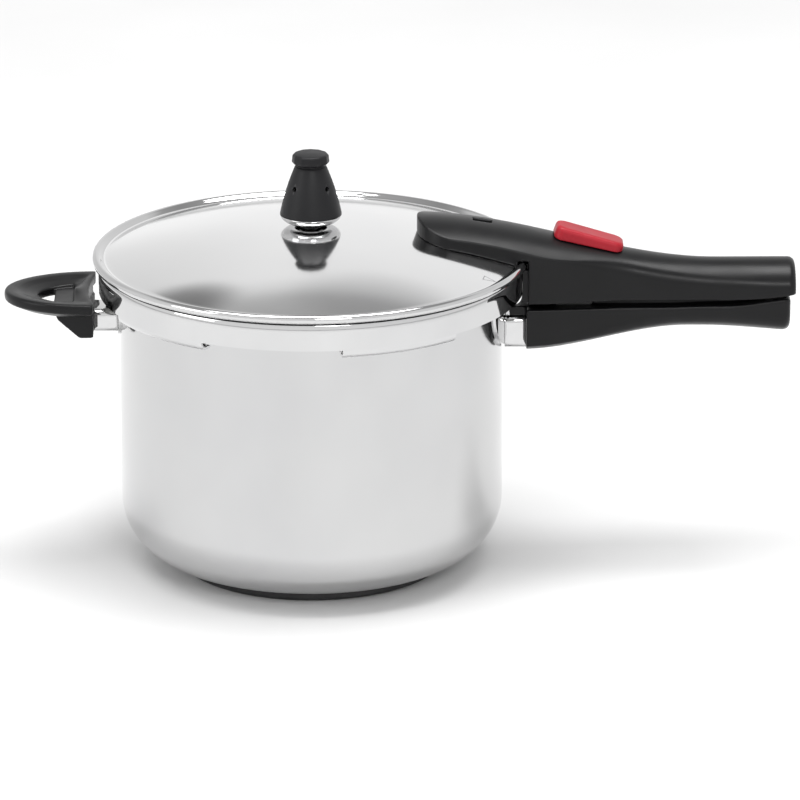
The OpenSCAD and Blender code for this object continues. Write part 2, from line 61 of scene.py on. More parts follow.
# slide button: middle, slope in degrees and half sizes; then bolt, tray and handle screws
SLIDE_X, SLOPE, BUTTON_LONG, BUTTON_WIDE = 160.0, 16.5, 20.5, 9.3
BOLT_X, TRAY_Z = 152.0, 162.0
FRONT_SCREW, REAR_SCREW, SCREW_R = 135.5, 240.0, 1.95
# helper handle: middle and half axes of the loop's outline, and its top
LOOP_C, LOOP_A, LOOP_B, LOOP_TOP = -128.0, 49.6, 34.5, 165.0


def ramp(t):
    """0 to 1 with soft ends; ramp((x - start) / length) is a soft step along a handle."""
    t = min(max(t, 0.0), 1.0)
    return t * t * (3 - 2 * t)


# lid handle: crest and its fall, round nose, half width, draw-in at the waist, flare at the end
CREST, CREST_FALL = 47.2, 27.0
NOSE_X, NOSE_R, HEAD_HALF, WAIST, END_FLARE = 82, 20.9, 24.5, 7.5, 1.5
# pot handle: top, axis that the underside is measured from, edge, depth and how it changes
GRIP_TOP, GRIP_AXIS, GRIP_ROLL = 156.6, 165, 0.7
BELLY, BELLY_RISE, BELLY_FLARE = 36.5, 13.6, 4.2
GRIP_HALF, ROOT_EXTRA = 17, 3.5
# both handles' slot for their bracket, and their screw's shank and head
SLOT_HALF, SHANK_R, HEAD_R = 8.2, 2.5, 4.6


def crest(x):
    """Height of the lid handle's crest over GRIP_Z."""
    return CREST - CREST_FALL * ramp((x - 60) / 175)


def handle_half(x):
    """Half width of the lid handle: a round nose, a broad head, a waist and a wider end."""
    if x < NOSE_X:
        return HEAD_HALF * math.sqrt(max(0.0, 1 - ((NOSE_X - x) / NOSE_R) ** 2))
    return HEAD_HALF - WAIST * ramp((x - 128) / 58) + END_FLARE * ramp((x - 215) / 60)


def belly(x):
    """Depth of the pot handle's underside below its axis."""
    return BELLY - BELLY_RISE * ramp((x - 122) / 95) + BELLY_FLARE * ramp((x - 225) / 75)


def lower_half(x):
    """Half width of the pot handle."""
    return GRIP_HALF + ROOT_EXTRA * (1 - ramp((x - 124) / 60)) + ramp((x - 215) / 60)


# ------------------------------------------------------------- mesh tools


def arc(c, r, a0, a1, steps):
    """Points on a circle, from angle a0 to a1 in degrees."""
    angles = [math.radians(a0 + (a1 - a0) * i / steps) for i in range(steps + 1)]
    return [(c[0] + r * math.cos(a), c[1] + r * math.sin(a)) for a in angles]


def rounded(points, radius, steps=4):
    """A closed outline with its corners rounded."""
    out = []
    for i, point in enumerate(points):
        r = radius[i] if isinstance(radius, (list, tuple)) else radius
        corner = Vector(point)
        back = Vector(points[i - 1]) - corner
        on = Vector(points[(i + 1) % len(points)]) - corner
        half = back.angle(on) / 2
        if r <= 0 or half > math.radians(87):
            out.append(tuple(corner))
            continue
        cut = min(r / math.tan(half), 0.45 * back.length, 0.45 * on.length)
        back, on = back.normalized(), on.normalized()
        centre = corner + (back + on).normalized() * (cut / math.cos(half))
        start, end = corner + back * cut - centre, corner + on * cut - centre
        turn = start.angle_signed(end)
        for k in range(steps + 1):
            out.append(tuple(centre + Matrix.Rotation(-turn * k / steps, 2) @ start))
    return out


def mesh_object(name, points, faces, crease=32):
    """An object from points in millimetres; edges sharper than crease degrees stay crisp."""
    mesh = bpy.data.meshes.new(name)
    mesh.from_pydata([(x * MM, y * MM, z * MM) for x, y, z in points], [], faces)
    work = bmesh.new()
    work.from_mesh(mesh)
    bmesh.ops.remove_doubles(work, verts=work.verts, dist=1e-6)
    bmesh.ops.recalc_face_normals(work, faces=work.faces)
    work.to_mesh(mesh)
    work.free()
    obj = bpy.data.objects.new(name, mesh)
    scene.collection.objects.link(obj)
    crisp(obj, crease)
    return obj


def crisp(obj, crease):
    """Smooth shading, with edges sharper than crease degrees kept."""
    obj.data.shade_smooth()
    obj.data.set_sharp_from_angle(angle=math.radians(crease))


def applied(obj):
    """Makes the modifiers' result the object's own mesh."""
    bpy.context.view_layer.update()
    graph = bpy.context.evaluated_depsgraph_get()
    mesh = bpy.data.meshes.new_from_object(obj.evaluated_get(graph))
    obj.modifiers.clear()
    obj.data = mesh
    return obj


def combine(obj, *others, how="DIFFERENCE"):
    """Cuts the others from obj, or joins them to it, and removes them."""
    for other in others:
        step = obj.modifiers.new("step", "BOOLEAN")
        step.operation, step.object, step.solver = how, other, "EXACT"
        applied(obj)
        bpy.data.objects.remove(other)
    return obj


def softened(obj, voxel, passes):
    """Rounds every edge a little, as a moulding is."""
    grid = obj.modifiers.new("grid", "REMESH")
    grid.mode, grid.voxel_size, grid.use_smooth_shade = "VOXEL", voxel * MM, True
    relax = obj.modifiers.new("relax", "SMOOTH")
    relax.factor, relax.iterations = 0.5, passes
    applied(obj)
    obj.data.shade_smooth()
    return obj


def bevelled(obj, width, steps, angle, crease):
    """Rounds the edges that are sharper than angle degrees."""
    edge = obj.modifiers.new("edge", "BEVEL")
    edge.width, edge.segments, edge.limit_method = width * MM, steps, "ANGLE"
    edge.angle_limit, edge.use_clamp_overlap = math.radians(angle), True
    applied(obj)
    crisp(obj, crease)
    return obj


def turned(name, outline, x=0.0, steps=96, crease=32):
    """A closed outline of (radius, height) turned round an upright axis."""
    points, rows = [], []
    for r, z in outline:
        if r < 1e-4:
            rows.append([len(points)] * steps)
            points.append((x, 0.0, z))
        else:
            rows.append([len(points) + j for j in range(steps)])
            for j in range(steps):
                a = 2 * math.pi * j / steps
                points.append((x + r * math.cos(a), r * math.sin(a), z))
    faces = []
    for low, high in zip(rows, rows[1:] + rows[:1]):
        for j in range(steps):
            k = (j + 1) % steps
            face = list(dict.fromkeys([low[j], low[k], high[k], high[j]]))
            if len(face) > 2:
                faces.append(face)
    return mesh_object(name, points, faces, crease)


STEPS_LUG, STEPS_GAP = 40, 46


def lugged(name, outline, gap, lug, crease=32):
    """A turned shell whose outline takes the loop lug after point gap, over each lug's arc."""
    angles, over = [], []
    for i in range(round(360 / LUG_STEP)):
        start = LUG_FIRST + i * LUG_STEP - LUG_ARC / 2
        for k in range(STEPS_LUG):
            angles.append(start + LUG_ARC * k / STEPS_LUG)
            over.append(True)
        for k in range(STEPS_GAP):
            angles.append(start + LUG_ARC + (LUG_STEP - LUG_ARC) * k / STEPS_GAP)
            over.append(False)
    points, index = [], {}

    def at(key, r, z, j):
        key = (key, j if r > 1e-4 else 0)
        if key not in index:
            a = math.radians(angles[j])
            index[key] = len(points)
            points.append((r * math.cos(a), r * math.sin(a), z))
        return index[key]

    def strip(pairs, j, k):
        for (key_a, a), (key_b, b) in pairs:
            face = [at(key_a, *a, j), at(key_a, *a, k), at(key_b, *b, k), at(key_b, *b, j)]
            face = list(dict.fromkeys(face))
            if len(face) > 2:
                faces.append(face)

    faces = []
    body = [(("b", i), p) for i, p in enumerate(outline)]
    loop = [body[gap]] + [(("l", i), p) for i, p in enumerate(lug)] + [body[gap + 1]]
    for j in range(len(angles)):
        k = (j + 1) % len(angles)
        pairs = [(body[i], body[(i + 1) % len(body)]) for i in range(len(body)) if i != gap]
        pairs += list(zip(loop, loop[1:])) if over[j] else [(body[gap], body[gap + 1])]
        strip(pairs, j, k)
        if over[j] != over[j - 1]:
            faces.append([at(key, *p, j) for key, p in loop])
    return mesh_object(name, points, faces, crease)


def slab(name, outline, z0, z1, place=Matrix.Identity(4), crease=32):
    """An outline in X and Y raised from z0 to z1, then moved by place."""
    n = len(outline)
    points = [place @ Vector((x, y, z)) for z in (z0, z1) for x, y in outline]
    faces = [list(range(n))[::-1], list(range(n, 2 * n))]
    faces += [[i, (i + 1) % n, n + (i + 1) % n, n + i] for i in range(n)]
    return mesh_object(name, points, faces, crease)


def block(lo, hi, place=Matrix.Identity(4)):
    """A cutter with flat faces."""
    outline = [(lo[0], lo[1]), (hi[0], lo[1]), (hi[0], hi[1]), (lo[0], hi[1])]
    return slab("cutter", outline, lo[2], hi[2], place)


def drum(x, r, z0, z1, steps=64):
    """A round cutter."""
    return turned("cutter", [(0, z0), (r, z0), (r, z1), (0, z1)], x, steps=steps)


def lofted(name, sections, crease=32):
    """A solid through closed sections with equal point counts, capped at both ends."""
    n = len(sections[0])
    points = [p for section in sections for p in section]
    faces = [list(range(n))[::-1], [len(points) - n + i for i in range(n)]]
    for s in range(len(sections) - 1):
        for i in range(n):
            j = (i + 1) % n
            faces.append([s * n + i, s * n + j, (s + 1) * n + j, (s + 1) * n + i])
    return mesh_object(name, points, faces, crease)


def ring_loft(name, sections, crease=32):
    """A closed ring through closed sections."""
    n, m = len(sections[0]), len(sections)
    points = [p for section in sections for p in section]
    faces = []
    for s in range(m):
        t = (s + 1) % m
        for i in range(n):
            j = (i + 1) % n
            faces.append([s * n + i, s * n + j, t * n + j, t * n + i])
    return mesh_object(name, points, faces, crease)


# ------------------------------------------------------------- materials


class Shader:
    """A node material built call by call."""

    def __init__(self, name):
        self.mat = bpy.data.materials.new(name)
        self.mat.use_nodes = True
        self.tree = self.mat.node_tree
        self.bsdf = self.tree.nodes["Principled BSDF"]

    def node(self, kind, inputs=(), **settings):
        made = self.tree.nodes.new(kind)
        for key, value in settings.items():
            setattr(made, key, value)
        for key, value in dict(inputs).items():
            if isinstance(value, bpy.types.NodeSocket):
                self.tree.links.new(value, made.inputs[key])
            else:
                made.inputs[key].default_value = value
        return made

    def coords(self, scale):
        place = self.node("ShaderNodeTexCoord").outputs["Object"]
        return self.node("ShaderNodeMapping", {"Vector": place, "Scale": scale}).outputs[0]

    def noise(self, scale, detail=3.0, stretch=(1, 1, 1)):
        made = self.node(
            "ShaderNodeTexNoise",
            {"Vector": self.coords(stretch), "Scale": scale, "Detail": detail},
        )
        return made.outputs["Fac"]

    def remap(self, value, low, high, start=0.35, end=0.65):
        made = self.node(
            "ShaderNodeMapRange",
            {"Value": value, "From Min": start, "From Max": end, "To Min": low, "To Max": high},
        )
        return made.outputs[0]

    def blend(self, factor, a, b):
        made = self.node("ShaderNodeMix", data_type="RGBA")
        self.tree.links.new(factor, made.inputs["Factor"])
        for key, value in (("A", a), ("B", b)):
            socket = [s for s in made.inputs if s.name == key and s.type == "RGBA"][0]
            if isinstance(value, bpy.types.NodeSocket):
                self.tree.links.new(value, socket)
            else:
                socket.default_value = (*value, 1)
        return [s for s in made.outputs if s.type == "RGBA"][0]

    def bump(self, *layers):
        """Stacks (height, strength, distance in mm) layers."""
        last = None
        for height, strength, distance in layers:
            inputs = {"Height": height, "Strength": strength, "Distance": distance * MM}
            if last:
                inputs["Normal"] = last
            last = self.node("ShaderNodeBump", inputs).outputs[0]
        self.tree.links.new(last, self.bsdf.inputs["Normal"])

    def set(self, **values):
        for key, value in values.items():
            socket = self.bsdf.inputs[key.replace("_", " ")]
            if isinstance(value, bpy.types.NodeSocket):
                self.tree.links.new(value, socket)
            elif isinstance(value, tuple):
                socket.default_value = (*value, 1)
            else:
                socket.default_value = value
        return self

    def worn_edges(self):
        """1 on sharp outer edges, 0 elsewhere."""
        sharp = self.node("ShaderNodeNewGeometry").outputs["Pointiness"]
        return self.remap(sharp, 0.0, 1.0, 0.53, 0.60)


def metal(name, dark, light, rough, spread, brush=None, brush_depth=0.0, aniso=0.0):
    """Bare metal: faint colour clouds, smudged roughness and fine brushing."""
    s = Shader(name)
    clouds = s.noise(9.0, 4.0)
    smudge = s.remap(s.noise(34.0, 5.0), rough, rough + spread)
    s.set(Metallic=1.0, Base_Color=s.blend(s.remap(clouds, 0, 1), dark, light), Roughness=smudge)
    layers = [(s.noise(2600.0, 2.0), 0.05, 0.01)]
    if brush:
        layers.append((s.noise(1.0, 3.0, brush), brush_depth, 0.02))
    s.bump(*layers)
    if aniso:
        s.set(Anisotropic=aniso)
        tangent = s.node("ShaderNodeTangent", direction_type="RADIAL", axis="Z").outputs[0]
        s.tree.links.new(tangent, s.bsdf.inputs["Tangent"])
    return s.mat


def moulding(name, colour, worn, rough, spread, grain, specular=0.5):
    """Moulded plastic: fine skin texture, cloudy gloss, paler worn edges."""
    s = Shader(name)
    tint = s.blend(s.remap(s.noise(40.0, 4.0), 0, 1), colour, tuple(c * 1.25 for c in colour))
    s.set(
        Base_Color=s.blend(s.worn_edges(), tint, worn),
        Roughness=s.remap(s.noise(55.0, 5.0), rough, rough + spread),
    )
    s.bsdf.inputs["Specular IOR Level"].default_value = specular
    s.bump((s.noise(60.0, 3.0), 0.06, 0.4), (s.noise(1500.0, 3.0), grain, 0.03))
    return s.mat


def paint(obj, *materials):
    obj.data.materials.clear()
    for material in materials:
        obj.data.materials.append(material)
    return obj


# metals: dark and light colour, roughness and its spread, brushing, its depth, anisotropy;
# mouldings: colour, worn edges, roughness and its spread, grain, specular level
ROUND_BRUSH = (2, 2, 900)
satin = metal(
    "satin_wall", (0.55, 0.55, 0.555), (0.58, 0.58, 0.58), 0.11, 0.02, ROUND_BRUSH, 0.03, 0.4
)
dome_steel = metal("satin_dome", (0.84, 0.84, 0.845), (0.88, 0.88, 0.88), 0.085, 0.03)
# painted shade: the base capsule's near-black colour stands in for the dark reflection of the
# contact shadow under the pot
base_painted_shade = metal("base_painted_shade", (0.07, 0.07, 0.073), (0.11, 0.11, 0.11), 0.30, 0.08)
mirror = metal("mirror_steel", (0.60, 0.60, 0.605), (0.64, 0.64, 0.64), 0.03, 0.02)
plain = metal("plain_steel", (0.62, 0.62, 0.63), (0.72, 0.72, 0.72), 0.28, 0.08)
screw_steel = metal("screw_steel", (0.60, 0.60, 0.62), (0.72, 0.72, 0.73), 0.22, 0.10)
spring_steel = metal("spring_steel", (0.55, 0.55, 0.57), (0.66, 0.66, 0.68), 0.20, 0.10)
alloy = metal("base_alloy", (0.66, 0.66, 0.67), (0.76, 0.76, 0.77), 0.38, 0.10)
brass = metal("turned_brass", (0.66, 0.50, 0.24), (0.78, 0.62, 0.34), 0.20, 0.12)
phenolic = moulding(
    "phenolic", (0.004, 0.004, 0.0044), (0.018, 0.018, 0.019), 0.30, 0.08, 0.10, 0.23
)
valve_black = moulding(
    "valve_black", (0.008, 0.008, 0.009), (0.03, 0.03, 0.031), 0.42, 0.10, 0.16, 0.22
)
inner_black = moulding("inner_nylon", (0.05, 0.05, 0.055), (0.10, 0.10, 0.10), 0.5, 0.1, 0.15)
red = moulding("red_plastic", (0.26, 0.005, 0.013), (0.42, 0.04, 0.055), 0.34, 0.10, 0.12, 0.28)
silicone = moulding("silicone", (0.62, 0.62, 0.60), (0.70, 0.70, 0.68), 0.45, 0.10, 0.10, 0.4)
seal_rubber = moulding("seal_rubber", (0.03, 0.03, 0.03), (0.06, 0.06, 0.06), 0.55, 0.10, 0.15, 0.4)
etched = metal("etched_steel", (0.30, 0.30, 0.31), (0.38, 0.38, 0.39), 0.45, 0.10)
# painted shade: the fine groove between bead and skirt is coloured dark to stand in for the shadow
# in it
groove_painted_shade = moulding("groove_painted_shade", (0.02, 0.02, 0.02), (0.04, 0.04, 0.04), 0.6, 0.1, 0.1, 0.2)

CAD_LOOKS = {
    "base_core": alloy,
    "handle_bracket": mirror,
    "helper_bracket": mirror,
    "pot_handle_screw": screw_steel,
    "helper_screw": screw_steel,
    "lid_gasket": silicone,
    "lid_bracket": plain,
    "lid_handle_base": phenolic,
    "lid_handle_screws": screw_steel,
    "vent_pipe": mirror,
    "vent_seal": seal_rubber,
    "vent_nut": screw_steel,
    "safety_housing": brass,
    "safety_seal": seal_rubber,
    "safety_nut": screw_steel,
    "indicator_seal": seal_rubber,
    "regulator_weight": plain,
    "weight_clip": spring_steel,
    "shroud_screw": screw_steel,
    "safety_poppet": brass,
    "safety_spring": spring_steel,
    "indicator_pin": red,
    "slide_carrier": inner_black,
    "lock_bolt": plain,
    "bolt_spring": spring_steel,
    "bolt_keeper": inner_black,
}
for node_name, look in CAD_LOOKS.items():
    paint(nodes[node_name], look)


def stands_for(obj, node_name, body, slot, *materials):
    """Puts a detailed piece in a CAD node's place."""
    if materials:
        paint(obj, *materials)
    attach(obj, body)
    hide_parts(node_name)
    return obj


# ------------------------------------------------------------- pot

corner_c = (POT_R - CORNER, BASE_Z + CORNER)
pot_line = (
    [(0, BASE_Z), (30, BASE_Z), (60, BASE_Z)]
    + arc(corner_c, CORNER, -90, 0, 40)
    + [(POT_R, z) for z in (60, 90, 120, 150)]
    + [(POT_R, POT_LUG_LOW), (POT_R, POT_LUG_HIGH), (POT_R, RIM_Z - 3.4)]
    + [(POT_R + 1.1, RIM_Z - 2.7), (POT_R + 1.4, RIM_Z - 1.8), (POT_R + 1.2, RIM_Z - 0.7)]
    + [(POT_R + 0.5, RIM_Z), (POT_R - WALL + 0.3, RIM_Z), (POT_R - WALL, RIM_Z - 0.4)]
    + [(POT_R - WALL, z) for z in (150, 120, 90, 60)]
    + arc(corner_c, CORNER - WALL, 0, -90, 40)
    + [(60, BASE_Z + WALL), (30, BASE_Z + WALL), (0, BASE_Z + WALL)]
)
pot_gap = pot_line.index((POT_R, POT_LUG_LOW))
LUG_EASE = 0.2
pot_lug = [
    (POT_LUG_R - LUG_EASE, POT_LUG_LOW),
    (POT_LUG_R, POT_LUG_LOW + LUG_EASE),
    (POT_LUG_R, POT_LUG_HIGH - LUG_EASE),
    (POT_LUG_R - LUG_EASE, POT_LUG_HIGH),
]
pot = lugged("pot_body", pot_line, pot_gap, pot_lug)
stands_for(pot, "pot_shell", "pot", "satin_steel", satin)

base_r = POT_R - CORNER
base_line = (
    [(0, 0)]
    + arc((base_r - 0.5, 2.5), 2.5, -90, 0, 8)
    + [(base_r + 2.2, 3.6), (base_r + 2.4, 4.4), (base_r + 1.2, BASE_Z), (base_r - 1, BASE_Z)]
    + [(base_r - 1, 0.8), (0, 0.8)]
)
# the base capsule takes the painted shade colour
base = turned("base_capsule", base_line, steps=192)
stands_for(base, "base_cap", "pot", "polished_steel", base_painted_shade)

# ------------------------------------------------------------- lid


def dome(r, radius=DOME_R):
    """Height of the dome over its axis distance r."""
    return DOME_Z + math.sqrt(radius * radius - r * r)


dome_edge = BEAD_C[0] - BEAD_R
lug_c = (SKIRT_R - LUG_BEND, LUG_LOW + LUG_BEND)
# where the dome ends outside and inside, the vent's hole, and the bead's ends in degrees
DOME_END, INNER_END, VENT_HOLE, BEAD_ON, BEAD_OFF = 118.6, 118, 4.1, 125, -100
# the dome flows into the bead on a curve, and the bead rolls under to a fine groove that is painted
# dark as shade
bead_start = arc(BEAD_C, BEAD_R, BEAD_ON, BEAD_ON, 1)[0]
pull = [
    (DOME_END, dome(DOME_END)),
    (DOME_END + 1.3, dome(DOME_END) - 0.43),
    (bead_start[0] - 1.2, bead_start[1] - 0.9),
    bead_start,
]
flow = []
for i in range(1, 9):
    t = i / 9
    share = ((1 - t) ** 3, 3 * t * (1 - t) ** 2, 3 * t * t * (1 - t), t ** 3)
    flow.append(tuple(sum(w * q[axis] for w, q in zip(share, pull)) for axis in (0, 1)))
outer_r = [VENT_HOLE + (DOME_END - VENT_HOLE) * i / 44 for i in range(45)]
inner_r = [INNER_END - (INNER_END - VENT_HOLE) * i / 30 for i in range(31)]
lid_line = (
    [(r, dome(r)) for r in outer_r]
    + flow
    + arc(BEAD_C, BEAD_R, BEAD_ON, BEAD_OFF, 24)
    + [(122.1, 181.8), (121.95, 181.2), (122.1, 180.6)]
    + [(SKIRT_R - 0.2, 180.5), (SKIRT_R, 180.2), (SKIRT_R, 176), (SKIRT_R, 171)]
    + [(SKIRT_R, NOTCH_Z), (SKIRT_R - SKIRT_T, NOTCH_Z)]
    + [(SKIRT_R - SKIRT_T, 172), (SKIRT_R - SKIRT_T, 179.6)]
    + [(r, dome(r, DOME_R - LID_T)) for r in inner_r]
)
lid_gap = lid_line.index((SKIRT_R, NOTCH_Z))
lug_loop = (
    arc(lug_c, LUG_BEND, 0, -90, 12)
    + [(LUG_INNER + 0.4, LUG_LOW), (LUG_INNER, LUG_LOW + 0.4), (LUG_INNER, LUG_LOW + SKIRT_T - 0.4)]
    + [(LUG_INNER + 0.4, LUG_LOW + SKIRT_T)]
    + arc(lug_c, LUG_BEND - SKIRT_T, -90, 0, 10)
)
lid = lugged("lid_body", lid_line, lid_gap, lug_loop, crease=40)
# the two raised seats, each with its hole
for x, r, top, hole in ((SAFETY_X, 9, SAFETY_Z, 5.1), (PIN_X, 7, PIN_Z, 4.1)):
    combine(lid, drum(x, r, top - PAD, top), how="UNION")
    combine(lid, drum(x, hole, top - 12, top + 6))
crisp(lid, 40)
paint(lid, dome_steel, mirror, groove_painted_shade)
ON_DOME, ON_RIM, ON_GROOVE = range(3)
GROOVE_R, GROOVE_Z = (121.7, 123.2), (180.45, 182.0)
# faces in the groove take the painted shade colour
for face in lid.data.polygons:
    radius = math.hypot(face.center.x, face.center.y) / MM
    height = face.center.z / MM
    if GROOVE_R[0] < radius < GROOVE_R[1] and GROOVE_Z[0] < height < GROOVE_Z[1]:
        face.material_index = ON_GROOVE
    else:
        face.material_index = ON_RIM if radius > DOME_END + 1.5 else ON_DOME
stands_for(lid, "lid_shell", "lid", "satin_steel")

# open triangle etched beside the handle, pointing outwards
MARK_W, MARK_T, MARK_SIZE, SIDE_STEPS = 0.65, 0.06, 7, 8


def etching(name, centre, turn, outline):
    """A closed line about MARK_W wide, laid on the dome."""
    spin = Matrix.Rotation(math.radians(turn), 2)
    middle = sum((Vector(p) for p in outline), Vector((0, 0))) / len(outline)
    ends = outline[1:] + outline[:1]
    points, faces, count = [], [], SIDE_STEPS * len(outline)
    for lift in (-MARK_T, MARK_T):
        for shrink in (0.0, MARK_W):
            for k in range(count):
                side, part = divmod(k, SIDE_STEPS)
                flat = Vector(outline[side]).lerp(Vector(ends[side]), part / SIDE_STEPS)
                flat = middle + (flat - middle) * (1 - 2 * shrink / MARK_SIZE)
                x, y = Vector(centre) + spin @ flat
                points.append((x, y, dome(math.hypot(x, y)) + lift))
    for k in range(count):
        n = (k + 1) % count
        for a, b in ((0, count), (count, 3 * count), (3 * count, 2 * count), (2 * count, 0)):
            faces.append([a + k, a + n, b + n, b + k])
    return paint(mesh_object(name, points, faces), etched)


mark = etching("lid_mark", (100.6, -53.5), -11.5, [(-2.5, 2.9), (-2.5, -2.9), (5.0, 0.0)])
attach(mark, "lid")

# ------------------------------------------------------------- lid handle

ROUND_STEPS, LID_GAP = 180, 0.1


def envelope():
    """Cutter: all that the lid fills."""
    inner = dome_edge - 0.4
    line = [(0, 150), (EDGE_R, 150), (EDGE_R, EDGE_Z), (inner, EDGE_Z)]
    spots = [inner * (1 - i / 24) for i in range(25)]
    line += [(r, dome(r, DOME_R + LID_GAP)) for r in spots]
    return turned("cutter", line, steps=ROUND_STEPS)


def crown_section(x, inset, low, trim=0.0):
    """Section of the lid handle: upright sides that roll over into a round crown."""
    half = max(0.35, handle_half(x) - inset - trim)
    top = crest(x) - inset - trim
    roll = 0.9 + 8.7 * ramp((x - 132) / 58)
    roll = max(0.3, min(roll - inset, 0.8 * half))
    centre_z = math.sqrt((top - roll) ** 2 - (half - roll) ** 2)
    tilt = math.degrees(math.atan2(centre_z, half - roll))
    right = [(half, low - GRIP_Z + (centre_z - low + GRIP_Z) * i / 8) for i in range(8)]
    right += arc((half - roll, centre_z), roll, 0, tilt, 8)
    right += arc((0, 0), top, tilt, 90, 16)[1:-1]
    line = right + [(0, top)] + [(-y, z) for y, z in reversed(right)]
    return [(x, y, GRIP_Z + z) for y, z in line]


HANDLE_TIP, TIP_LONG = 61.2, 20.8


def crown(name, inset, low_at):
    """The lid handle's form, made smaller by inset."""
    tip, end, turn = HANDLE_TIP + inset, HANDLE_END - inset, 4.0 - min(inset, 2.5)
    sections = []
    for i in range(13):
        x = tip + TIP_LONG * (1 - math.cos(math.pi / 2 * i / 12))
        sections.append(crown_section(x + 0.02, inset, low_at(x)))
    for i in range(1, 61):
        x = tip + TIP_LONG + (end - turn - tip - TIP_LONG) * i / 60
        sections.append(crown_section(x, inset, low_at(x)))
    for i in range(1, 7):
        a = math.pi / 2 * i / 6
        x = end - turn + turn * math.sin(a)
        sections.append(crown_section(x, inset, low_at(x), turn * (1 - math.cos(a)) * 0.9))
    return lofted(name, sections)


def underside(x):
    """The handle's lower edge lifts a little towards its end."""
    return GRIP_Z + 0.9 * ramp((x - 248) / 18) + 2.0 * ramp((x - 262) / 20)


on_slope = Matrix.Translation((SLIDE_X, 0, GRIP_Z + crest(SLIDE_X))) @ Matrix.Rotation(
    math.radians(SLOPE), 4, "Y"
)
cavity = crown("cutter", SHELL, lambda x: 120.0)
combine(cavity, drum(0, EDGE_R + 2.6, 110, EDGE_Z + 3, ROUND_STEPS))
cover = crown("lid_handle", 0.0, lambda x: underside(x) if x > 130 else GRIP_Z)
combine(cover, cavity)
POST_R = 4
for x, low, high in ((FRONT_SCREW, 170, 192), (REAR_SCREW, 166, 179)):
    combine(cover, drum(x, POST_R, low, high), how="UNION")
# the front wall keeps two wings that reach in under the bead to the skirt
WING_IN, WING_OUT, BRACKET_HALF, HEAD_BAY = 8.4, 20.4, 8.4, 15.4
lid_space = envelope()
for low_y, high_y in ((WING_IN, WING_OUT), (-WING_OUT, -WING_IN)):
    combine(lid_space, block((100, low_y, 149), (140, high_y, UNDER_BEAD - 1.1)))
WINDOW_LONG, WINDOW_WIDE = 5.5, 2.5
combine(
    cover,
    lid_space,
    # clear of the skirt, and a step in the lower front edge
    drum(0, SKIRT_R + 0.5, 150, 182, ROUND_STEPS),
    block((100, -20, 160), (EDGE_R + 2.5, 20, GRIP_Z + 3.6)),
    # room over the dome's edge, and the bracket's way over the bead and out to the tray
    block((80, -HEAD_BAY, 180), (121, HEAD_BAY, EDGE_Z + 3.2)),
    block((80, -BRACKET_HALF, 160), (144, BRACKET_HALF, TRAY_Z + 5.5)),
    block((80, -BRACKET_HALF, 160), (EDGE_R + 3.2, BRACKET_HALF, EDGE_Z + 3.2)),
    # the indicator's window, the slide's slot and the screws
    block((PIN_X - WINDOW_LONG, -WINDOW_WIDE, 195), (PIN_X + WINDOW_LONG, WINDOW_WIDE, 215)),
    block((-12.3, -2.9, -12), (6.3, 2.9, 8), on_slope),
    drum(FRONT_SCREW, SCREW_R, 160, 182),
    drum(REAR_SCREW, SCREW_R, 160, 177),
)
softened(cover, 0.6, 2)
stands_for(cover, "lid_handle_cover", "lid", "phenolic", phenolic)

# ------------------------------------------------------------- slide button

button_line = rounded(
    [
        (-BUTTON_LONG, -BUTTON_WIDE),
        (BUTTON_LONG, -BUTTON_WIDE),
        (BUTTON_LONG, BUTTON_WIDE),
        (-BUTTON_LONG, BUTTON_WIDE),
    ],
    5.0,
    8,
)
# heights over the slope, and how far the outline has drawn in there
levels = [(-3.0, 0.0), (0.0, 0.0), (3.6, 0.2), (4.6, 0.45), (5.35, 0.95), (5.85, 1.8), (6.0, 2.8)]
button_sections = []
for z, inset in levels:
    row = []
    for x, y in button_line:
        x = x * (BUTTON_LONG - inset) / BUTTON_LONG
        y = y * (BUTTON_WIDE - inset) / BUTTON_WIDE
        row.append(tuple(on_slope @ Vector((x, y, z))))
    button_sections.append(row)
button = lofted("slide_button_body", button_sections)
# the button's underside is a shallow trough that follows the handle's round crest
TROUGH_R = 37
hollow_place = on_slope @ Matrix.Translation((0, 0, 0.55)) @ Matrix.Rotation(
    math.radians(86.6), 4, "Y"
)
trough = arc((TROUGH_R, 0), TROUGH_R, 0, 358, 179)
hollow = slab("cutter", trough, -40, 40, hollow_place)
combine(button, hollow, block((-3.1, -2.1, -3), (5.1, 2.1, 2.5), on_slope))
softened(button, 0.35, 3)
stands_for(button, "slide_button", "slider", "red_plastic", red)

# ------------------------------------------------------------- pot handle


def grip_section(x, trim=0.0):
    """Section of the pot handle: flat top, upright sides that roll under into a round belly."""
    half, deep = lower_half(x) - trim, belly(x) - trim
    top = GRIP_TOP - trim * 0.4 + 0.8 * ramp((x - 200) / 40) + 4.6 * ramp((x - 240) / 42)
    roll = min(1.3 + 8.0 * ramp((x - 140) / 60), 0.6 * half)
    centre = math.sqrt((deep - roll) ** 2 - (half - roll) ** 2)
    tilt = math.degrees(math.atan2(centre, half - roll))
    right = arc((0, 0), deep, 90, tilt, 14)[:-1] + arc((half - roll, centre), roll, tilt, 0, 8)
    right = [(y, GRIP_AXIS - z) for y, z in right]
    start = right[-1][1]
    right += [(half, start + (top - GRIP_ROLL - start) * i / 5) for i in range(1, 6)]
    right += arc((half - GRIP_ROLL, top - GRIP_ROLL), GRIP_ROLL, 0, 90, 4)[1:]
    right += [(half * 0.5, top)]
    line = right + [(0, top)] + [(-y, z) for y, z in reversed(right[1:])]
    return [(x, y, z) for y, z in line]


GRIP_START, GRIP_ROUND = 124.3, 272.6
grip_rows = [grip_section(GRIP_START + (GRIP_ROUND - GRIP_START) * i / 70) for i in range(71)]
for i in range(1, 8):
    a = math.pi / 2 * i / 7
    grip_rows.append(grip_section(GRIP_ROUND + 4.4 * math.sin(a), 4.0 * (1 - math.cos(a))))
grip = lofted("pot_handle_body", grip_rows)
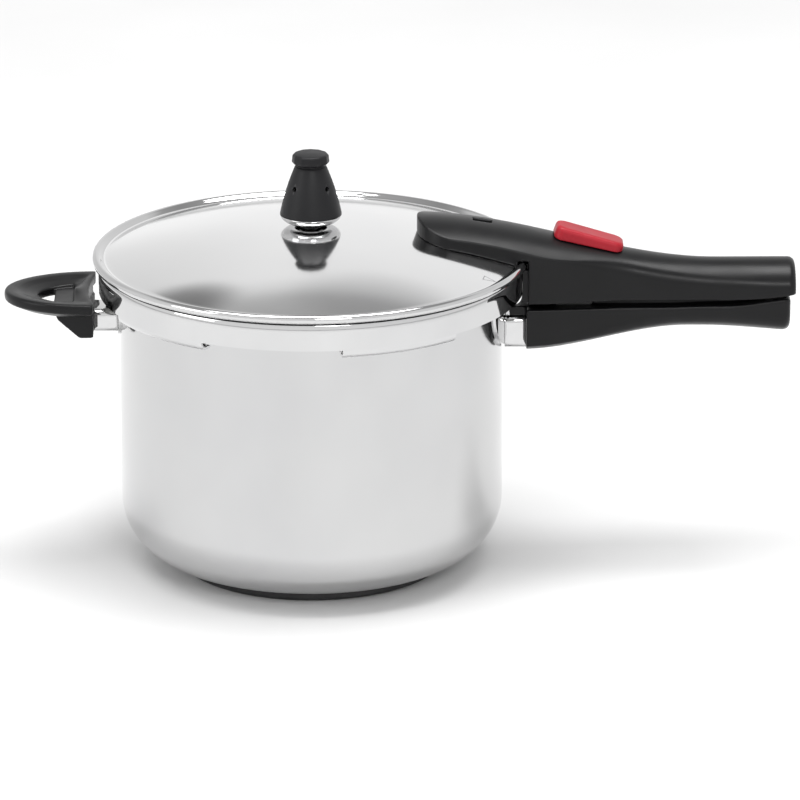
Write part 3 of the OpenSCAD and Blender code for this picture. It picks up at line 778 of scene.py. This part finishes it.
# nose over the guard, and the ribs that fill most of the gap under the lid handle
combine(grip, block((114.5, -13, 151.2), (126.5, 13, GRIP_TOP)), how="UNION")
KEEPER_LONG, KEEPER_WIDE, RIB_HALF, RIB_TOP = 10.5, 8.5, 9, 160.3
keeper_x0, keeper_x1 = BOLT_X - KEEPER_LONG, BOLT_X + KEEPER_LONG
for rib_x0, rib_x1 in ((126, keeper_x0), (keeper_x1, 262)):
    combine(grip, block((rib_x0, -RIB_HALF, 150), (rib_x1, RIB_HALF, RIB_TOP)), how="UNION")
POT_SCREW_X = 156
combine(
    grip,
    # the bracket's slot, the screw and its head, and the keeper's pocket
    block((110, -SLOT_HALF, 139.3), (164.4, SLOT_HALF, 144.7)),
    drum(POT_SCREW_X, SHANK_R, 100, 146),
    drum(POT_SCREW_X, HEAD_R, 100, 136),
    block((keeper_x0, -KEEPER_WIDE, 151.5), (keeper_x1, KEEPER_WIDE, 175)),
)
softened(grip, 0.7, 4)
stands_for(grip, "pot_handle", "pot", "phenolic", phenolic)

# ------------------------------------------------------------- helper handle

# finger hole: middle, half axes and straight side; then what keeps clear of the lid's bead
HOLE_X, HOLE_A, HOLE_B, HOLE_END = -147.5, 30, 18.5, -137.2
BEAD_CLEAR = 128.4


def in_plate(x, y):
    """Inside the loop's outline, clear of the lid's bead."""
    in_oval = ((x - LOOP_C) / LOOP_A) ** 2 + (y / LOOP_B) ** 2 < 1
    return in_oval and math.hypot(x, y) > BEAD_CLEAR + 0.1


def in_hole(x, y):
    """Inside the finger hole's outline, straight on the pot's side."""
    return x < HOLE_END and ((x - LOOP_C) / HOLE_A) ** 2 + (y / HOLE_B) ** 2 < 1


def reach(inside, angle):
    """How far the outline lies from the hole's middle, along an angle."""
    low, high = 0.0, 90.0
    for _ in range(40):
        mid = (low + high) / 2
        there = (HOLE_X + mid * math.cos(angle), mid * math.sin(angle))
        low, high = (mid, high) if inside(*there) else (low, mid)
    return low


turns = [2 * math.pi * k / ROUND_STEPS for k in range(ROUND_STEPS)]
hole_reach = [reach(in_hole, a) for a in turns]
DISH, UNDER_DISH = 3.4, 3.0
loop_rows = []
for k, a in enumerate(turns):
    # the hole's corners are rounded by averaging its reach over the neighbours
    near = sum(hole_reach[(k + d) % ROUND_STEPS] for d in (-2, -1, 0, 1, 2)) / 5
    far = reach(in_plate, a)
    wide = far - near
    # the ring is dished on top and underneath, except over the straight bar by the pot
    bar = max(0.0, math.cos(a)) ** 3
    dish, under = DISH * (1 - bar), UNDER_DISH * (1 - bar)
    line = [
        (near, LOOP_TOP - dish - 0.9),
        (near + 0.35, LOOP_TOP - dish - 0.2),
        (near + 1.2, LOOP_TOP - dish + 0.15),
        (near + wide * 0.40, LOOP_TOP - dish * 0.52),
        (near + wide * 0.62, LOOP_TOP - dish * 0.10),
        (near + wide * 0.75, LOOP_TOP),
        (far - 1.6, LOOP_TOP - 0.05),
        (far - 0.6, LOOP_TOP - 0.5),
        (far - 0.1, LOOP_TOP - 1.5),
        (far, LOOP_TOP - 3.0),
        (far - 0.1, LOOP_TOP - 4.8),
        (far - 0.7, LOOP_TOP - 5.8),
        (far - wide * 0.22, LOOP_TOP - 6.4 - under * 0.35),
        (far - wide * 0.45, LOOP_TOP - 6.6 - under * 0.95),
        (far - wide * 0.65, LOOP_TOP - 6.6 - under),
        (near + 1.4, LOOP_TOP - 6.6 - under * 0.8),
        (near + 0.3, LOOP_TOP - 6.2 - under * 0.6),
        (near, LOOP_TOP - 5.4 - under * 0.4),
    ]
    loop_rows.append([(HOLE_X + r * math.cos(a), r * math.sin(a), z) for r, z in line])
loop = ring_loft("helper_handle_body", loop_rows)
# the gusset under the loop, opened where the finger hole is
wedge_line = rounded(
    [(-125.9, 140.8), (-134.0, 140.8), (-146.5, 152.0), (-149.0, 160.0), (-125.9, 160.0)],
    [0.8, 2.0, 4.0, 0.5, 0.5],
    5,
)
upright = Matrix(((1, 0, 0, 0), (0, 0, 1, 0), (0, 1, 0, 0), (0, 0, 0, 1)))
wedge = slab("cutter", wedge_line, -20, 20, upright)
finger_hole = []
for k in range(90):
    a = 2 * math.pi * k / 90
    r = reach(in_hole, a)
    finger_hole.append((HOLE_X + r * math.cos(a), r * math.sin(a)))
combine(wedge, slab("cutter", finger_hole, 130, 158.8))
combine(loop, wedge, how="UNION")
HELPER_SCREW_X, HELPER_GUARD_END = -131.2, 125.8
combine(
    loop,
    # clear of the lid's bead and of the guard, then the bracket's slot, the screw and its head
    drum(0, BEAD_CLEAR, 156, 180, ROUND_STEPS),
    block((-HELPER_GUARD_END, -50, 130), (-60, 50, 190)),
    block((-135.6, -SLOT_HALF, 145.8), (-120, SLOT_HALF, 151.2)),
    drum(HELPER_SCREW_X, SHANK_R, 135, 152.6),
    drum(HELPER_SCREW_X, HEAD_R, 135, 143),
)
softened(loop, 0.55, 4)
stands_for(loop, "helper_handle", "pot", "phenolic", phenolic)

# ------------------------------------------------------------- flame guards

# stands an outline up in Y and Z, so that it is raised along X
across = Matrix(((0, 0, 1, 0), (1, 0, 0, 0), (0, 1, 0, 0), (0, 0, 0, 1)))
GUARD_T, GUARD_ROUND, GUARD_IN = 1, 4.0, 99.0


def guard(name, node_name, side, x_end, half, z0, z1):
    """A polished sleeve from the wall to a handle."""
    outer = rounded([(-half, z0), (half, z0), (half, z1), (-half, z1)], GUARD_ROUND, 10)
    near, far = sorted((side * GUARD_IN, side * x_end))
    sleeve = slab(name, outer, near, far, across)
    half, low, high = half - GUARD_T, z0 + GUARD_T, z1 - GUARD_T
    inner = [(-half, low), (half, low), (half, high), (-half, high)]
    inner = rounded(inner, GUARD_ROUND - GUARD_T, 10)
    combine(
        sleeve,
        slab("cutter", inner, near - 2, far + 2, across),
        drum(0, POT_R + 1.5, z0 - 2, z1 + 2, 256),
    )
    bevelled(sleeve, 0.25, 2, 50, 30)
    stands_for(sleeve, node_name, "pot", "polished_steel", mirror)


guard("handle_guard_sleeve", "handle_guard", 1, 124.2, 14.0, 131.4, 150.8)
guard("helper_guard_sleeve", "helper_guard", -1, HELPER_GUARD_END, 12.0, 141.6, 155.2)

# ------------------------------------------------------------- valve

# the cone: levels, radius below, how it narrows and bulges, its wall and the screw's hole
CONE_LOW, CONE_HIGH, CORE_TOP, CAP_TOP = 209.5, 238.2, 236.4, 245.5
CONE_R, CONE_DROP, CONE_BULGE, CONE_T, CONE_HOLE, CORE_R = 17.9, 8.9, 3.2, 2, 3.1, 7.7
# height and radius of the steam holes
VENT_Z, VENT_R = 226.5, 1.55


def cone_r(z):
    """Radius of the cone, a little bellied."""
    t = (z - CONE_LOW) / (CONE_HIGH - CONE_LOW)
    return CONE_R - CONE_DROP * t + CONE_BULGE * t * (1 - t)


cone_line = [(cone_r(CONE_LOW) - 1.7, CONE_LOW), (cone_r(CONE_LOW) - 0.4, CONE_LOW)]
cone_line += [(cone_r(CONE_LOW + 0.4), CONE_LOW + 0.4)]
side_levels = [CONE_LOW + 1 + i * 1.35 for i in range(21)]
cone_line += [(cone_r(z), z) for z in side_levels]
cone_line += [(8.85, CONE_HIGH - 0.15), (8.6, CONE_HIGH)]
cone_line += [(CONE_HOLE, CONE_HIGH), (CONE_HOLE, CORE_TOP + 0.3)]
cone_line += [(CORE_R, CORE_TOP + 0.3), (CORE_R, CORE_TOP - 4)]
cone_line += [(cone_r(z) - CONE_T, z) for z in (230.4, 227, 223.6, 220.2, 216.8, 213.4, 210.0)]
cone = turned("valve_cone", cone_line, steps=120)
for k in range(4):
    turn = Matrix.Rotation(math.radians(45 + 90 * k), 4, "Z") @ Matrix.Translation((0, 0, VENT_Z))
    combine(cone, slab("cutter", arc((0, 0), VENT_R, 0, 345, 23), 8, 20, turn @ across))
bevelled(cone, 0.22, 2, 38, 40)
stands_for(cone, "regulator_shroud", "regulator_hood", "valve_black", valve_black)


def facets(r, z, count=12):
    """A level polygon."""
    angles = [2 * math.pi * k / count for k in range(count)]
    return [(r * math.cos(a), r * math.sin(a), z) for a in angles]


cap_line = [
    (8.8, CONE_HIGH + 0.05),
    (8.9, CONE_HIGH + 0.9),
    (10.75, CONE_HIGH + 2.1),
    (10.9, CONE_HIGH + 2.7),
    (10.5, 244.4),
    (9.9, 245.15),
    (9.0, CAP_TOP),
]
cap = lofted("valve_cap", [facets(r, z) for r, z in cap_line], crease=20)
combine(cap, drum(0, 5, CONE_HIGH - 1, CONE_HIGH + 4.6))
bevelled(cap, 0.3, 3, 22, 45)
stands_for(cap, "regulator_cap", "regulator_hood", "valve_black", valve_black)

FLARE_C, FLARE_R, FLARE_T = (12, 211), 6.2, 1.0
skirt_line = arc(FLARE_C, FLARE_R, -14, -80, 12) + [(9.4, 204.9), (9.4, 205.9)]
skirt_line += arc(FLARE_C, FLARE_R - FLARE_T, -80, -18, 12)
valve_skirt = bevelled(turned("valve_skirt", skirt_line, steps=128), 0.2, 2, 50, 40)
stands_for(valve_skirt, "regulator_skirt", "regulator_hood", "polished_steel", mirror)

# ------------------------------------------------------------- studio

FLOOR = 9
corners = [(-FLOOR, -FLOOR, 0), (FLOOR, -FLOOR, 0), (FLOOR, FLOOR, 0), (-FLOOR, FLOOR, 0)]
floor_mesh = bpy.data.meshes.new("floor")
floor_mesh.from_pydata(corners, [], [(0, 1, 2, 3)])
floor = bpy.data.objects.new("floor", floor_mesh)
scene.collection.objects.link(floor)
paper = Shader("studio_paper")
paper.set(
    Base_Color=paper.blend(
        paper.remap(paper.noise(3.0), 0, 1), (0.66, 0.66, 0.66), (0.69, 0.69, 0.69)
    ),
    Roughness=paper.remap(paper.noise(20.0), 0.75, 0.9),
)
paint(floor, paper.mat)


def softbox(name, place, target, width, height, power):
    """A soft rectangular light, sizes in metres and power in watts."""
    lamp = bpy.data.lights.new(name, "AREA")
    lamp.shape, lamp.size, lamp.size_y = "RECTANGLE", width, height
    lamp.energy = power
    obj = bpy.data.objects.new(name, lamp)
    obj.location = place
    obj.rotation_euler = (Vector(target) - Vector(place)).to_track_quat("-Z", "Y").to_euler()
    scene.collection.objects.link(obj)


softbox("key", (-0.9, -0.5, 2.6), (0, 0, 0.1), 1.1, 1.1, 22)
softbox("top", (0.38, 0.02, 2.8), (0.15, 0, 0.2), 1.3, 1.8, 66)
softbox("fill", (-2.4, -1.2, 1.0), (0, 0, 0.1), 1.2, 1.2, 12)
softbox("front", (0.55, -2.6, 1.75), (0.2, 0, 0.18), 0.9, 0.6, 18)

world = bpy.data.worlds.new("studio")
scene.world = world
world.use_nodes = True
tree = world.node_tree
back = tree.nodes["Background"]
coord = tree.nodes.new("ShaderNodeTexCoord")
split = tree.nodes.new("ShaderNodeSeparateXYZ")
tree.links.new(coord.outputs["Generated"], split.inputs[0])
fade = tree.nodes.new("ShaderNodeValToRGB")
tree.links.new(split.outputs["Z"], fade.inputs[0])
# the studio is bright at the horizon and darker overhead: (height, level)
stops = [
    (0.0, 1.0),
    (0.38, 0.93),
    (0.48, 0.91),
    (0.57, 0.88),
    (0.65, 0.87),
    (0.69, 0.74),
    (0.73, 0.47),
    (0.80, 0.38),
    (1.0, 0.60),
]
while len(fade.color_ramp.elements) < len(stops):
    fade.color_ramp.elements.new(0.5)
for element, (at_z, level) in zip(fade.color_ramp.elements, stops):
    element.position = at_z
    element.color = (level, level, level, 1)
shade = fade.outputs[0]
# three dark flats that hang behind the set: direction, cosines of their soft edge, darkness
flats = (
    (Vector((-0.225, 0.71, 0.67)), 0.9915, 0.9997, 0.72),
    (Vector((0.11, 0.69, 0.72)), 0.984, 0.9995, 0.25),
    (Vector((-0.5, 0.80, 0.35)), 0.87, 0.97, 0.17),
)
for direction, low, high, depth in flats:
    toward = tree.nodes.new("ShaderNodeVectorMath")
    toward.operation = "DOT_PRODUCT"
    tree.links.new(coord.outputs["Generated"], toward.inputs[0])
    toward.inputs[1].default_value = direction.normalized()
    near = tree.nodes.new("ShaderNodeMapRange")
    near.interpolation_type = "SMOOTHSTEP"
    tree.links.new(toward.outputs["Value"], near.inputs["Value"])
    limits = {"From Min": low, "From Max": high, "To Min": 1.0, "To Max": 1 - depth}
    for key, value in limits.items():
        near.inputs[key].default_value = value
    dim = tree.nodes.new("ShaderNodeVectorMath")
    dim.operation = "SCALE"
    tree.links.new(shade, dim.inputs[0])
    tree.links.new(near.outputs[0], dim.inputs["Scale"])
    shade = dim.outputs[0]
tree.links.new(shade, back.inputs[0])
back.inputs[1].default_value = 1.0

# the camera's place in metres, and how far it looks down and to the right, in radians
EYE, DOWN, ASIDE = (0, -3.36062, 1.21621), 0.3218, 0.0153
camera = bpy.data.cameras.new("camera")
camera.sensor_width, camera.lens = 36, 273.5
camera.clip_start, camera.clip_end = 0.1, 50
eye = bpy.data.objects.new("camera", camera)
eye.location = EYE
eye.rotation_euler = (math.pi / 2 - DOWN, 0, -ASIDE)
scene.collection.objects.link(eye)
scene.camera = eye
scene.view_settings.view_transform = "Standard"
